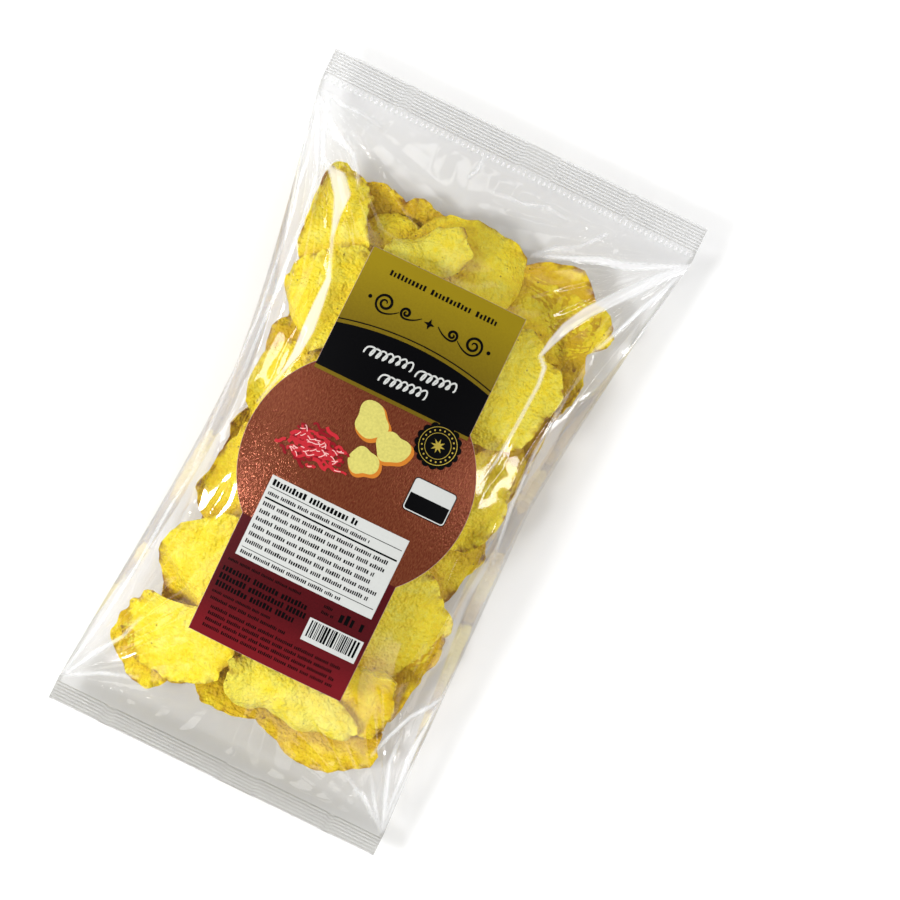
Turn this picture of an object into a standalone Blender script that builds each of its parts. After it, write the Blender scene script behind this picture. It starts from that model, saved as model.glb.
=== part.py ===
"""A clear film bag of potato crisps, sealed across both ends and lying on its back.

The bag is one solid: a plump pillow with a flat ridged seal at the head and at the foot, and a flat patch where its
belly rests on the ground. The label is a second, thin solid: a disc between two rectangles that follows the front.
Lengths are metres. X runs across the bag, Y runs from the foot to the head, and Z is up from the ground.
"""

import math

import bmesh
import bpy

MM = 0.001

# Outline of the bag, seen from above
LENGTH = 326 * MM
HEAD_WIDTH = 190 * MM
WAIST_WIDTH = 150 * MM
FOOT_WIDTH = 166 * MM
WAIST_Y = 10 * MM
HEAD_FLARE = 1.3  # above 1, so that the width grows mostly near the head
FOOT_FLARE = 1.5
WAIST_SHIFT = 3 * MM  # the middle of the bag sits a little to the right of its ends

# Heights
SIDE_HEIGHT = 30 * MM  # the side folds, at the middle of the bag
SEAL_HEIGHT = 21 * MM  # the seals droop lower than the side folds
FRONT_RISE = 36 * MM  # how far the front swells above the side folds
BACK_DROP = 35 * MM  # how far the back would swell below them, if the ground were not there
GROUND_BLEND = 2.5 * MM  # the height over which the belly curves into its flat patch
BULK_Y = -8 * MM  # where the bag is thickest

# Cross section: 0.55 gives an upright rounded side and 1 gives a sharp lens
MIDDLE_ROUNDNESS = 0.55
END_ROUNDNESS = 1.0

# Seals
HEAD_SEAL = 17 * MM
FOOT_SEAL = 11 * MM
FILM = 0.6 * MM  # two layers of film, pressed together
RIDGE_PITCH = 1.5 * MM
RIDGE_HEIGHT = 0.35 * MM
HEAD_RIDGES = 8
FOOT_RIDGES = 6

# Gathers that run into the bag from each seal
GATHERS = 5
GATHER_HEIGHT = 1.2 * MM
GATHER_REACH = 45 * MM

# Label
LABEL_TOP = 88 * MM
LABEL_FOOT = -104 * MM
LABEL_WIDTH = 76.4 * MM
DISC_RADIUS = 53.8 * MM
DISC_Y = -8 * MM
LABEL_GAP = 0.3 * MM
LABEL_THICKNESS = 0.4 * MM

# How finely each surface is cut
BAG_COLUMNS = 32
BODY_ROWS = 42
BORDER_ROWS = 4  # the plain strip of the head seal, below its ridges
LABEL_COLUMNS = 16
LABEL_SQUARE_ROWS = 9
LABEL_DISC_ROWS = 20


def blend(start, end, share):
    return start + (end - start) * share


def clear_scene():
    for old in list(bpy.data.objects):
        bpy.data.objects.remove(old, do_unlink=True)


def collection(name):
    group = bpy.data.collections.new(name)
    bpy.context.scene.collection.children.link(group)
    return group


def material(name, colour, roughness):
    made = bpy.data.materials.new(name)
    made.use_nodes = True
    shader = made.node_tree.nodes["Principled BSDF"]
    shader.inputs["Base Color"].default_value = (*colour, 1.0)
    shader.inputs["Roughness"].default_value = roughness
    return made


def half_width(y):
    """Half of the bag's width at y: least at the waist, growing towards both seals."""
    head_y = LENGTH / 2 - HEAD_SEAL
    foot_y = -LENGTH / 2 + FOOT_SEAL
    if y > WAIST_Y:
        share = min((y - WAIST_Y) / (head_y - WAIST_Y), 1.0)
        return blend(WAIST_WIDTH, HEAD_WIDTH, share ** HEAD_FLARE) / 2
    share = min((WAIST_Y - y) / (WAIST_Y - foot_y), 1.0)
    return blend(WAIST_WIDTH, FOOT_WIDTH, share ** FOOT_FLARE) / 2


def middle_x(y):
    """Where the middle of the bag lies at y."""
    return WAIST_SHIFT * (1 - (2 * y / LENGTH) ** 2) ** 2


def fullness(y):
    """How much the bag swells at y: 1 at its thickest and 0 from the seals outwards."""
    end = LENGTH / 2 - HEAD_SEAL if y > BULK_Y else -LENGTH / 2 + FOOT_SEAL
    share = (y - BULK_Y) / (end - BULK_Y)
    return max(1 - share * share, 0.0)


def side_height(y):
    return blend(SEAL_HEIGHT, SIDE_HEIGHT, fullness(y))


def gathers(side, y):
    """Shallow waves across the film near each seal, which die out further in."""
    head_gap = LENGTH / 2 - HEAD_SEAL - y
    foot_gap = y + LENGTH / 2 - FOOT_SEAL
    gap = min(head_gap, foot_gap)
    if gap <= 0 or gap >= GATHER_REACH:
        return 0.0
    swell = math.sin(math.pi * gap / GATHER_REACH) ** 2
    return GATHER_HEIGHT * swell * math.cos(GATHERS * math.pi * side) * (1 - side * side)


def ridges(y):
    """The pressed zigzag of the seals, as a height that both layers of film share."""
    from_head = LENGTH / 2 - y
    from_foot = y + LENGTH / 2
    if from_head <= HEAD_RIDGES * RIDGE_PITCH:
        turns = from_head / RIDGE_PITCH
    elif from_foot <= FOOT_RIDGES * RIDGE_PITCH:
        turns = from_foot / RIDGE_PITCH
    else:
        return 0.0
    return RIDGE_HEIGHT * (1 - 4 * abs(turns % 1.0 - 0.5))


def swell(side, y):
    """The shape of the cross section at y: 1 on the middle line and 0 at the side folds."""
    roundness = blend(END_ROUNDNESS, MIDDLE_ROUNDNESS, fullness(y))
    return fullness(y) * max(1 - side * side, 0.0) ** roundness


def front_height(side, y):
    return side_height(y) + FRONT_RISE * swell(side, y) + gathers(side, y) + ridges(y) + FILM / 2


def back_height(side, y):
    """The height of the back, which runs smoothly into the flat patch where the bag rests."""
    height = side_height(y) - BACK_DROP * swell(side, y) - gathers(side, y) + ridges(y) - FILM / 2
    if height > GROUND_BLEND:
        return height
    return max(height + GROUND_BLEND, 0.0) ** 2 / (4 * GROUND_BLEND)


def bag_stations():
    """The rows of the bag from the foot to the head: two to each ridge, and rows closing up towards the seals."""
    foot = -LENGTH / 2
    head = LENGTH / 2
    rows = [foot + RIDGE_PITCH * step / 2 for step in range(2 * FOOT_RIDGES + 1)]
    body_start = foot + FOOT_SEAL
    body_end = head - HEAD_SEAL
    for step in range(BODY_ROWS + 1):
        share = 0.5 - 0.5 * math.cos(math.pi * step / BODY_ROWS)
        rows.append(blend(body_start, body_end, blend(step / BODY_ROWS, share, 0.5)))
    ridge_start = head - HEAD_RIDGES * RIDGE_PITCH
    for step in range(1, BORDER_ROWS):
        rows.append(blend(body_end, ridge_start, step / BORDER_ROWS))
    rows += [ridge_start + RIDGE_PITCH * step / 2 for step in range(2 * HEAD_RIDGES + 1)]
    return rows


def label_stations():
    """The rows of the label, closing up round the disc so that its edge stays round."""
    corner = math.asin(LABEL_WIDTH / 2 / DISC_RADIUS)
    rows = []
    reach = DISC_RADIUS * math.cos(corner)
    for step in range(LABEL_SQUARE_ROWS):
        rows.append(blend(LABEL_FOOT, DISC_Y - reach, step / LABEL_SQUARE_ROWS))
    for step in range(LABEL_DISC_ROWS + 1):
        turn = blend(math.pi - corner, corner, step / LABEL_DISC_ROWS)
        rows.append(DISC_Y + DISC_RADIUS * math.cos(turn))
    for step in range(1, LABEL_SQUARE_ROWS + 1):
        rows.append(blend(DISC_Y + reach, LABEL_TOP, step / LABEL_SQUARE_ROWS))
    return rows


def label_half_width(y):
    """Half of the label's width at y: the disc where it is wider than the two rectangles."""
    from_middle = DISC_RADIUS ** 2 - (y - DISC_Y) ** 2
    return max(math.sqrt(max(from_middle, 0.0)), LABEL_WIDTH / 2)


def bag_point(across, y, upper):
    """A point of the bag, from its place across the width between -1 and 1."""
    side = math.sin(across * math.pi / 2)
    height = front_height(side, y) if upper else back_height(side, y)
    return (middle_x(y) + side * half_width(y), y, height)


def label_point(across, y, upper):
    """A point of the label, a little above the front of the bag."""
    x = across * label_half_width(y)
    side = (x - middle_x(y)) / half_width(y)
    height = front_height(side, y) + LABEL_GAP + (LABEL_THICKNESS if upper else 0.0)
    return (x, y, height)


def sheet(name, columns, stations, place, look, group):
    """A closed sheet of two layers, cut into columns and rows, with each corner put in its place."""
    rows = len(stations) - 1
    cut = bmesh.new()
    bmesh.ops.create_grid(cut, x_segments=columns, y_segments=rows, size=1.0)
    bmesh.ops.solidify(cut, geom=cut.faces[:], thickness=1.0)
    level = sum(vertex.co.z for vertex in cut.verts) / len(cut.verts)
    for vertex in cut.verts:
        row = round((vertex.co.y + 1) / 2 * rows)
        vertex.co = place(vertex.co.x, stations[row], vertex.co.z > level)
    bmesh.ops.recalc_face_normals(cut, faces=cut.faces[:])
    mesh = bpy.data.meshes.new(name)
    cut.to_mesh(mesh)
    cut.free()
    made = bpy.data.objects.new(name, mesh)
    made.data.materials.append(look)
    group.objects.link(made)
    return made


def shade_round(made, sharp_angle):
    for face in made.data.polygons:
        face.use_smooth = True
    made.data.set_sharp_from_angle(angle=sharp_angle)


def build():
    clear_scene()
    group = collection("bag_of_crisps")
    clear_film = material("clear_film", (0.86, 0.72, 0.30), 0.25)
    label_paper = material("label_paper", (0.30, 0.10, 0.07), 0.45)
    bag = sheet("bag", BAG_COLUMNS, bag_stations(), bag_point, clear_film, group)
    label = sheet("label", LABEL_COLUMNS, label_stations(), label_point, label_paper, group)
    shade_round(bag, math.radians(50))
    shade_round(label, math.radians(50))


build()
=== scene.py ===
"""The looks of a clear film bag of potato crisps that lies on its back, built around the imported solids.

Lengths are metres. X runs across the bag, Y from its foot to its head, and Z is up from the ground.
"""

import math

import bmesh
import bpy
import numpy as np
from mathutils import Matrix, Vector

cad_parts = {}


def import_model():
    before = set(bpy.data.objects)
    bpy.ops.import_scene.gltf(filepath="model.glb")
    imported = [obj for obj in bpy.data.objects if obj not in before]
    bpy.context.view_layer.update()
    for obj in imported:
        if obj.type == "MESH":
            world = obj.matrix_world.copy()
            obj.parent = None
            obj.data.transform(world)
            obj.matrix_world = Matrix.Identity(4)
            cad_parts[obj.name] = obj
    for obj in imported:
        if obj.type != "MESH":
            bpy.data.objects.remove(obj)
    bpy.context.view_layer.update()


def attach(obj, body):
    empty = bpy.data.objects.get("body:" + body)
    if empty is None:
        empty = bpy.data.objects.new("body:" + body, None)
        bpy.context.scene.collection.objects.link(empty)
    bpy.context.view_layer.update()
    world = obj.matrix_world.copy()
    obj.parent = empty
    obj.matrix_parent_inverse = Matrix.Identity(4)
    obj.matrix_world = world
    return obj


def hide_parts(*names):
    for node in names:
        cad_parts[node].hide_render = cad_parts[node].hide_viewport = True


MM = 0.001
TAU = 2 * math.pi

# Form of the bag, as its solid has it
LENGTH = 326 * MM
HEAD_WIDTH = 190 * MM
WAIST_WIDTH = 150 * MM
FOOT_WIDTH = 166 * MM
WAIST_Y = 10 * MM
HEAD_FLARE = 1.3
FOOT_FLARE = 1.5
WAIST_SHIFT = 3 * MM
SIDE_HEIGHT = 30 * MM
SEAL_HEIGHT = 21 * MM
FRONT_RISE = 36 * MM
BACK_DROP = 35 * MM
GROUND_BLEND = 2.5 * MM  # how gently the belly runs out where it rests
BULK_Y = -8 * MM  # where the bag is fullest
MIDDLE_ROUNDNESS = 0.55
END_ROUNDNESS = 1.0
HEAD_SEAL = 17 * MM
FOOT_SEAL = 11 * MM
HEAD_Y = LENGTH / 2 - HEAD_SEAL
FOOT_Y = -LENGTH / 2 + FOOT_SEAL
FILM = 0.5 * MM
RIDGE_PITCH = 1.5 * MM
RIDGE_HEIGHT = 0.30 * MM
HEAD_RIDGES = 8
FOOT_RIDGES = 6

# Row of dents under the ridges of the head seal
TEETH_Y = HEAD_Y + 3.0 * MM
TEETH_PITCH = 2.6 * MM
TEETH_BREADTH = 0.9 * MM
TEETH_HEIGHT = 0.3 * MM

# Doubled film in the seals: the middle of each and half its width, in millimetres
SEAMS = ((-55, 3), (12, 9), (58, 2))
SEAM_SHIFT = 0.45  # how far the ridges shift there, as a share of their pitch
SEAM_LOWERS = 0.35
SEAM_EDGE = 1.5 * MM

# Mesh of the film
FRONT_COLUMNS = 284
BACK_COLUMNS = 110
FILM_STEP = 1.15 * MM
ROWS_IN_RIDGE = 5
SIDE_CROWDING = 0.35  # how much closer the columns are towards the bag's sides

# Painted highlights (white) and painted shade on the film, from 0 to 1
FOLD_PAINTED_HIGHLIGHT = 0.55
SEAL_PAINTED_HIGHLIGHT = 0.35
TEETH_PAINTED_HIGHLIGHT = 0.6
SEAL_PAINTED_SHADE = 0.8
FOOT_SEAL_PAINTED_HIGHLIGHT = 0.6  # share of the head seal's
FOOT_SEAL_PAINTED_SHADE = 2.4  # share of the head seal's
BACK_PAINTED_SHADE = 0.06
FOOT_PAINTED_SHADOW = 0.54
FOOT_SHADOW_START = -118 * MM
FOOT_SHADOW_REACH = 35 * MM
SIDE_PAINTED_SHADE = 0.6
SIDE_SHADE_START = 0.972  # share of the half width

# Creases
FRONT_SEED = 11
BACK_SEED = 23
BACK_CREASES = 0.8  # depth of the back's creases as a share of the front's
FOLD_RISE = 0.3  # height of a sharp fold as a share of its width there
HAIR_WIDTH = 1.6 * MM  # least width at which a fold's painted highlight shows
LABEL_BORDER = 9 * MM  # where the film round the label goes from flat to creased
LABEL_FLATTENS = 0.82  # how much of the relief the label takes away
SIDE_CALM = 0.10  # share of the half width over which the relief ends at a side
SEAL_CALM = 5 * MM  # how far from a seal it ends
GROUND_CALM = 6 * MM  # how far above the ground it ends
SIDE_FOLD_FADE = 25 * MM  # over which a side fold starts and ends

# Crisps
CRISP_THICKNESS = 0.85 * MM
FINE_GRID = (16, 72)  # rings and spokes of the mesh of a crisp that shows in front
COARSE_GRID = (7, 30)
RING_CROWDING = 0.85  # less than 1 puts the rings closer together at the rim
RIM_ANGLE = math.radians(50)  # where the rim of a crisp is a sharp edge
SHADED_DEPTH = 20 * MM  # how far under the film a crisp takes its deepest painted shade
PAINTED_DEPTH_SHADE = 0.45
PAINTED_CONTACT_SHADE = 0.9  # how much painted shade deepens the colour in the gap beside a crisp that lies on top
CONTACT_CELLS = 2  # how many cells that gap reaches
SHADE_LIFT = 0.22  # added to each crisp's shade, which is its tone together with painted shade
DEEPEST = 16 * MM  # largest rise from one part of a crisp to another
SIDE_ROOM = 9 * MM  # between a crisp and a side fold of the bag
SEAL_ROOM = 12 * MM  # between a crisp and a seal
FILM_ROOM = 1.0 * MM  # between a crisp and the film
SQUEEZE = 4 * MM  # how far a crisp may pass the back film before it is pressed flatter
PRESSES = (1.0, 0.8, 0.62, 0.48, 0.36, 0.25)  # shares of its height that a crisp keeps, tried in turn
CELL = 2.5 * MM  # side of one cell of the map of free room
LARGEST_LEAN = math.radians(22)  # how far a crisp leans with the front film
CURL_MOST = math.radians(75)  # how far a curled edge turns
PLEATS = 4
BENT_EDGES = 2
FRILL_WAVES = (2, 3, 5, 8)  # how many go round a crisp
# Blisters of a crisp: how many, their breadths in millimetres, and their heights as shares of those
BLISTERS = ((5, (5, 10), (0.10, 0.20)), (40, (1.5, 3.6), (0.06, 0.16)))
# Waves of a crisp's outline: how many go round it, and their height as a share
EDGE_WAVES = (
    (2, 0.05), (3, 0.06), (4, 0.04), (5, 0.035), (7, 0.025), (9, 0.02),
    (13, 0.016), (19, 0.013), (27, 0.011),
)

# Label
LABEL_TOP = 88 * MM
LABEL_FOOT = -104 * MM
LABEL_WIDTH = 76.4 * MM
DISC_RADIUS = 53.8 * MM
DISC_Y = -8 * MM
LABEL_GAP = 0.25 * MM
LABEL_THICKNESS = 0.35 * MM
PRINT_STEP = 0.06 * MM
DRAPE_STEP = 3 * MM  # how far apart the label is cut to bend with the film
BAND_FOOT = 28.7 * MM  # the black band's lower edge
BAND_SIDE = 49.4 * MM  # its upper edge at the sides
BAND_RISE = 5.0 * MM  # how much higher that edge is in the middle
GOLD_EDGE = 1.7 * MM  # gold line under the black band
PAPER_EDGE = 0.15 * MM  # bare paper round the print
RED_TOP = DISC_Y - math.sqrt(DISC_RADIUS ** 2 - (LABEL_WIDTH / 2) ** 2)  # where the disc ends at the sides
RED_GRADE_START = -78 * MM
PICTURE_SEED = 60

# Rows of loops on the label, in millimetres
LOOP_PITCH = 3.1
LOOP_HEIGHT = 5.4
LOOP_LINE = 0.8
LOOP_STEPS = 22

# Camera, looking straight down with the bag leaning to the right
CAMERA_HEIGHT = 1.4
CAMERA_LENS = 120
CAMERA_X = 33 * MM
CAMERA_Y = 20 * MM
CAMERA_LEAN = math.radians(26)

# Studio
FLOOR_REACH = 3.0
FLOOR_DROP = 0.3 * MM
ROOM_LIGHT = 0.64
MIRRORED_ROOM = 0.22  # what the film mirrors between the bright patches
MIRRORED_PATCHES = 2.4


# Form of the bag


def blend(start, end, share):
    return start + (end - start) * share


def smooth(share):
    share = np.clip(share, 0, 1)
    return share * share * (3 - 2 * share)


def half_width(y):
    """Half of the bag's width at y."""
    to_head = np.clip((y - WAIST_Y) / (HEAD_Y - WAIST_Y), 0, 1) ** HEAD_FLARE
    to_foot = np.clip((WAIST_Y - y) / (WAIST_Y - FOOT_Y), 0, 1) ** FOOT_FLARE
    head_part = blend(WAIST_WIDTH, HEAD_WIDTH, to_head)
    foot_part = blend(WAIST_WIDTH, FOOT_WIDTH, to_foot)
    return np.where(y > WAIST_Y, head_part, foot_part) / 2


def middle_x(y):
    return WAIST_SHIFT * (1 - (2 * y / LENGTH) ** 2) ** 2


def side_share(x, y):
    """How far out a place is: 0 on the bag's middle line and 1 at its side."""
    return np.abs(x - middle_x(y)) / half_width(y)


def fullness(y):
    end = np.where(y > BULK_Y, HEAD_Y, FOOT_Y)
    return np.maximum(1 - ((y - BULK_Y) / (end - BULK_Y)) ** 2, 0)


def side_height(y):
    return blend(SEAL_HEIGHT, SIDE_HEIGHT, fullness(y))


def swell(x, y):
    """How far the film bulges out from the height of the sides, from 0 to 1."""
    side = np.clip((x - middle_x(y)) / half_width(y), -1, 1)
    roundness = blend(END_ROUNDNESS, MIDDLE_ROUNDNESS, fullness(y))
    return fullness(y) * np.maximum(1 - side * side, 0) ** roundness


def smooth_front(x, y):
    return side_height(y) + FRONT_RISE * swell(x, y)


def smooth_back(x, y):
    height = side_height(y) - BACK_DROP * swell(x, y)
    low = np.maximum(height + GROUND_BLEND, 0) ** 2 / (4 * GROUND_BLEND)
    return np.where(height > GROUND_BLEND, height, low)


# Creases of the film

# Sharp folds: places in millimetres, each with the width of the fold there
FOLDS = (
    # Left side, from the head seal to the waist
    ((-82, 117, 1.2), (-73, 112, 2.5), (-67, 109, 7), (-62, 103, 7.5), (-60, 94, 3.5), (-57, 83, 1),
     (-53, 73, 0.8), (-50, 65, 2.5), (-49, 53, 4.5), (-48, 41, 5.5), (-48, 29, 3.5), (-50, 18, 1),
     (-54, 2, 0.4)),
    ((-94, 141, 0.8), (-84, 133, 1.8), (-76, 126, 4), (-70, 124, 2), (-66, 122, 1.5), (-60, 115, 0.9),
     (-57, 109, 0.2)),
    ((-93, 143, 0.6), (-81, 141, 1.2), (-70, 141, 0.8), (-60, 139, 0.3)),
    ((-94, 141, 1), (-88, 129, 2.4), (-82, 118, 3.2), (-77, 108, 1.2), (-73, 84, 0.9), (-70, 56, 1.4),
     (-68, 30, 0.9), (-66, 4, 0.4)),
    ((-88, 140, 1), (-80, 120, 1.6), (-72, 96, 0.3)),
    ((-93, 140, 1), (-86, 106, 1.1), (-77, 74, 0.7), (-72, 36, 1.1), (-71, 8, 0.8), (-68, -38, 0.5)),
    # Right side, from the head seal to the waist
    ((97, 146, 2), (85, 133, 4.5), (72, 117, 5.5), (62, 104, 5), (56, 93, 4.5), (53, 84, 3), (51, 76, 1.2),
     (55, 72, 1.8), (56, 64, 1.2), (55, 43, 1), (54, 25, 0.9), (51, 10, 0.4)),
    ((28, 116, 0.6), (36, 124, 1), (45, 129, 0.7), (54, 140, 1.2)),
    ((28, 116, 0.4), (40, 121, 1.6), (57, 128, 3.5), (69, 131, 4), (95, 144, 1)),
    ((95, 144, 0.8), (90, 131, 1.6), (84, 117, 2.2), (77, 100, 1.2), (72, 88, 0.3)),
    ((95, 144, 0.6), (92, 124, 1.2), (89, 108, 1.6), (86, 92, 0.4)),
    ((97, 144, 1), (91, 102, 1.4), (86, 74, 0.8), (82, 44, 1.1), (80, 12, 0.8)),
    ((70, 66, 0.3), (68, 36, 1), (69, 11, 1), (73, -18, 0.3)),
    # Right side, from the waist to the foot seal
    ((80, 12, 0.7), (81, -28, 1), (82, -61, 1.2), (82, -92, 1.4), (81, -123, 1.6), (82, -150, 1)),
    ((84, -76, 0.3), (76, -89, 1.8), (70, -97, 1.6), (65, -110, 1.4), (62, -121, 0.4)),
    ((82, -151, 0.8), (76, -135, 2.2), (71, -121, 1.6), (70, -107, 0.4)),
    ((81, -151, 0.8), (79, -128, 1.4), (78, -112, 2.6), (79, -90, 1), (80, -68, 0.4)),
    ((80, -150, 0.6), (68, -141, 1.4), (56, -135, 0.3)),
    ((80, -150, 0.6), (73, -141, 1.1), (66, -130, 0.3)),
    # Left side, from the waist to the foot seal
    ((-66, -30, 0.3), (-70, -60, 1.2), (-72, -90, 1), (-76, -120, 1.6), (-82, -150, 1)),
    ((-81, -150, 0.8), (-72, -134, 2), (-64, -122, 1), (-60, -110, 0.3)),
    ((-80, -150, 0.8), (-66, -142, 1.4), (-50, -136, 0.3)),
    # Under the head seal
    ((-14, 136, 0.6), (-12, 141, 1.4), (-12, 147, 0.6)),
    ((0, 135, 0.5), (14, 136, 1), (24, 140, 0.8), (35, 138, 0.4)),
)

# Fans of facets: the corner's X and Y, first and last direction in degrees, count, depth and reach
FANS = (
    (93 * MM, HEAD_Y + 1 * MM, 176, 262, 17, 1.5 * MM, 120 * MM),
    (-94 * MM, HEAD_Y - 2 * MM, 276, 352, 15, 1.4 * MM, 110 * MM),
    (83 * MM, FOOT_Y, 94, 178, 13, 1.3 * MM, 85 * MM),
    (-83 * MM, FOOT_Y, 2, 86, 13, 1.3 * MM, 85 * MM),
)

# Short folds at the seals: the seal's edge, reach, depth and count
GATHERS = (
    (HEAD_Y, 26 * MM, 0.45 * MM, 31),
    (FOOT_Y, 30 * MM, 0.5 * MM, 27),
)

# Long creases along each side: distance from it, wander, depth, width, and where they start and end
SIDE_FOLDS = (
    (13 * MM, 2.5 * MM, 1.3 * MM, 2.2 * MM, -120 * MM, 120 * MM),
    (22 * MM, 3.5 * MM, -0.8 * MM, 2.6 * MM, -90 * MM, 90 * MM),
    (6 * MM, 1.5 * MM, 0.9 * MM, 1.5 * MM, -135 * MM, 60 * MM),
)

# Swellings of the film: size and depth
SWELLINGS = ((38 * MM, 0.26 * MM), (17 * MM, 0.045 * MM))


def path_gap(x, y, path):
    """How far a place is from a path, and how wide the path is there. Paths are in millimetres."""
    gap = np.full(np.shape(x), 1.0)
    width = np.zeros(np.shape(x))
    for start, end in zip(path, path[1:]):
        x0, y0, w0 = [value * MM for value in start]
        x1, y1, w1 = [value * MM for value in end]
        run = (x1 - x0) ** 2 + (y1 - y0) ** 2
        share = np.clip(((x - x0) * (x1 - x0) + (y - y0) * (y1 - y0)) / run, 0, 1)
        away = np.hypot(x - blend(x0, x1, share), y - blend(y0, y1, share))
        nearer = away < gap
        gap = np.where(nearer, away, gap)
        width = np.where(nearer, blend(w0, w1, share), width)
    return gap, width


def zigzag(places, start, end, count, rng):
    """A folded line: 1 and -1 by turns at uneven steps from start to end, and 0 at both ends."""
    steps = np.sort(rng.uniform(start, end, count))
    even = np.linspace(start, end, count + 2)[1:-1]
    knots = np.concatenate([[start], blend(even, steps, 0.55), [end]])
    turns = np.where(np.arange(count) % 2 == 0, 1.0, -1.0) * rng.uniform(0.45, 1.0, count)
    return np.interp(places, knots, np.concatenate([[0.0], turns, [0.0]]))


def corner_fan(x, y, corner_x, corner_y, start, end, count, depth, reach, rng):
    """Long flat facets that spread from a corner of the bag, like the ribs of a fan."""
    east = x - corner_x
    north = y - corner_y
    away = np.hypot(east, north)
    turn = np.degrees(np.arctan2(north, east)) % 360
    grow = smooth(away / (0.30 * reach))
    fade = smooth((reach - away) / (0.75 * reach))
    return depth * zigzag(turn, start, end, count, rng) * grow * fade


def seal_gathers(x, y, edge, reach, depth, count, rng):
    """Short folds that run from a seal into the bag."""
    gap = np.abs(y - edge)
    drift = x + 0.25 * gap * np.sin(x / (11 * MM))
    line = zigzag(drift, -HEAD_WIDTH / 2, HEAD_WIDTH / 2, count, rng)
    return depth * line * smooth(gap / (0.2 * reach)) * smooth((reach - gap) / (0.8 * reach))


def side_fold(x, y, side, inset, wander, depth, width, start, end, rng):
    """A long crease that runs along one side of the bag."""
    knots = np.linspace(start, end, 9)
    path = inset + wander * rng.uniform(-1, 1, len(knots))
    edge = middle_x(y) + side * half_width(y)
    gap = (edge - x) * side - np.interp(y, knots, path)
    ends = smooth((y - start) / SIDE_FOLD_FADE) * smooth((end - y) / SIDE_FOLD_FADE)
    return depth * np.exp(-np.abs(gap) / width) * ends


def soft_waves(x, y, size, depth, rng):
    """Low uneven swellings, as a sum of waves in many directions."""
    total = np.zeros_like(x)
    waves = 9
    for _ in range(waves):
        turn = rng.uniform(0, TAU)
        length = size * rng.uniform(0.7, 1.5)
        lag = rng.uniform(0, TAU)
        total += np.sin(TAU * (x * math.cos(turn) + y * math.sin(turn)) / length + lag)
    return depth * total / math.sqrt(waves)


def creases(x, y, seed):
    """All the creases of one face of the film, as a height that ends at the sides and the seals."""
    rng = np.random.default_rng(seed)
    total = sum(corner_fan(x, y, *fan, rng) for fan in FANS)
    for gathers in GATHERS:
        total += seal_gathers(x, y, *gathers, rng)
    for side in (-1, 1):
        for fold in SIDE_FOLDS:
            total += side_fold(x, y, side, *fold, rng)
    for size, depth in SWELLINGS:
        total += soft_waves(x, y, size, depth, rng)
    inside = smooth((1 - side_share(x, y)) / SIDE_CALM)
    ends = smooth((HEAD_Y - y) / SEAL_CALM) * smooth((y - FOOT_Y) / SEAL_CALM)
    return total * inside * ends


def under_label(x, y):
    """1 under the label, where the film is held flat, falling to 0 a little way outside it."""
    from_middle = DISC_RADIUS ** 2 - (y - DISC_Y) ** 2
    half = np.maximum(np.sqrt(np.maximum(from_middle, 0)), LABEL_WIDTH / 2)
    across = smooth((half + LABEL_BORDER - np.abs(x)) / LABEL_BORDER)
    from_top = smooth((LABEL_TOP + LABEL_BORDER - y) / LABEL_BORDER)
    from_foot = smooth((y - LABEL_FOOT + LABEL_BORDER) / LABEL_BORDER)
    return across * from_top * from_foot


def sharp_folds(x, y):
    """The height of the sharp folds, each a low tent along its path."""
    total = np.zeros(np.shape(x))
    for path in FOLDS:
        gap, width = path_gap(x, y, path)
        total = np.maximum(total, FOLD_RISE * np.maximum(width - gap, 0))
    return total


def front(x, y):
    """The height of the creased front film."""
    relief = creases(x, y, FRONT_SEED) + sharp_folds(x, y)
    return smooth_front(x, y) + relief * (1 - LABEL_FLATTENS * under_label(x, y))


def back(x, y):
    """The height of the creased back film, which lies flat where it meets the ground."""
    height = smooth_back(x, y)
    lifted = smooth(height / GROUND_CALM)
    return np.maximum(height - BACK_CREASES * creases(x, y, BACK_SEED) * lifted, 0)


# Meshes


def add_object(name, mesh, material):
    made = bpy.data.objects.new(name, mesh)
    made.data.materials.append(material)
    bpy.context.scene.collection.objects.link(made)
    return made


def add_mesh(name, points, faces, **layers):
    """A smooth mesh, with a value for each point in each named layer."""
    mesh = bpy.data.meshes.new(name)
    mesh.from_pydata(points.reshape(-1, 3).tolist(), [], faces)
    shade_smooth(mesh)
    for title, values in layers.items():
        layer = mesh.attributes.new(title, "FLOAT", "POINT")
        layer.data.foreach_set("value", np.ascontiguousarray(values).ravel())
    return mesh


def shade_smooth(mesh):
    mesh.polygons.foreach_set("use_smooth", np.ones(len(mesh.polygons), dtype=bool))
    mesh.update()


def thicken(piece, thickness, offset):
    solid = piece.modifiers.new("thickness", "SOLIDIFY")
    solid.thickness = thickness
    solid.offset = offset


# Film


def film_rows():
    """Rows of the film from foot to head, some to each seal ridge and even ones between the seals."""
    step = RIDGE_PITCH / ROWS_IN_RIDGE
    foot_end = -LENGTH / 2 + FOOT_RIDGES * RIDGE_PITCH
    head_start = LENGTH / 2 - HEAD_RIDGES * RIDGE_PITCH
    body = int((head_start - foot_end) / FILM_STEP)
    return np.concatenate([
        np.arange(-LENGTH / 2, foot_end - step / 2, step),
        np.linspace(foot_end, head_start, body, endpoint=False),
        np.arange(head_start, LENGTH / 2 + step / 2, step),
    ])


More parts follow.
